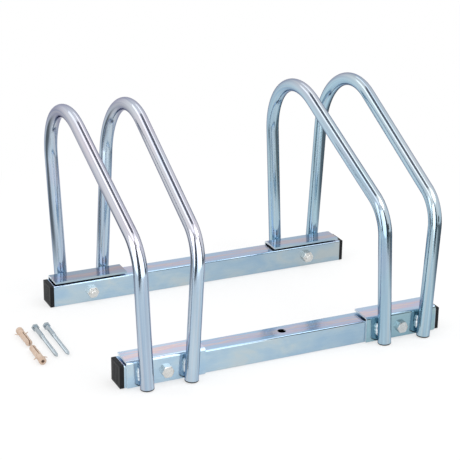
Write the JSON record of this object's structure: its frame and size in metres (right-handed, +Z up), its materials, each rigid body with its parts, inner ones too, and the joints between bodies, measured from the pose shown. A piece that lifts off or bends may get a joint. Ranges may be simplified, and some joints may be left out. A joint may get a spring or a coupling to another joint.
{
  "type": "floor stand for bicycles",
  "caption": "floor stand whose leaning pairs of bent tube hoops hold bicycle wheels upright, bolted to cross beams with end caps, with loose floor screws and wall plugs",
  "frame": {"origin": "on the floor, on the axis of the front beam's fixing hole, midway along the beam", "axes": "X runs along the beams, Y from the front beam to the rear beam, Z up"},
  "size_m": [0.4762, 0.305, 0.2679],
  "materials": {
    "zinc_plate": "bright blue zinc plate",
    "zinc_fasteners": "zinc plated fastener",
    "weld": "plated weld bead",
    "black_plastic": "satin black moulding",
    "nylon": "natural nylon",
    "plug_plastic": "tan moulding"
  },
  "bodies": {
    "root": {"front_beam": "zinc_plate", "rear_beam": "zinc_plate", "front_left_cap": "black_plastic", "front_right_cap": "black_plastic", "rear_left_cap": "black_plastic", "rear_right_cap": "black_plastic", "front_left_bracket": "zinc_plate", "front_right_bracket": "zinc_plate", "rear_left_bracket": "zinc_plate", "rear_right_bracket": "zinc_plate", "left_outer_hoop": "zinc_plate", "left_inner_hoop": "zinc_plate", "right_inner_hoop": "zinc_plate", "right_outer_hoop": "zinc_plate", "left_outer_welds": "weld", "left_inner_welds": "weld", "right_inner_welds": "weld", "right_outer_welds": "weld", "left_outer_feet": "black_plastic", "left_inner_feet": "black_plastic", "right_inner_feet": "black_plastic", "right_outer_feet": "black_plastic", "front_left_bolt": "zinc_fasteners", "front_right_bolt": "zinc_fasteners", "rear_left_bolt": "zinc_fasteners", "rear_right_bolt": "zinc_fasteners", "front_left_nut": "zinc_fasteners", "front_right_nut": "zinc_fasteners", "rear_left_nut": "zinc_fasteners", "rear_right_nut": "zinc_fasteners", "nut_locking_rings": "nylon", "floor_screw_outer": "zinc_fasteners", "floor_screw_inner": "zinc_fasteners", "wall_plug_rear": "plug_plastic", "wall_plug_front": "plug_plastic"}
  },
  "joints": []
}
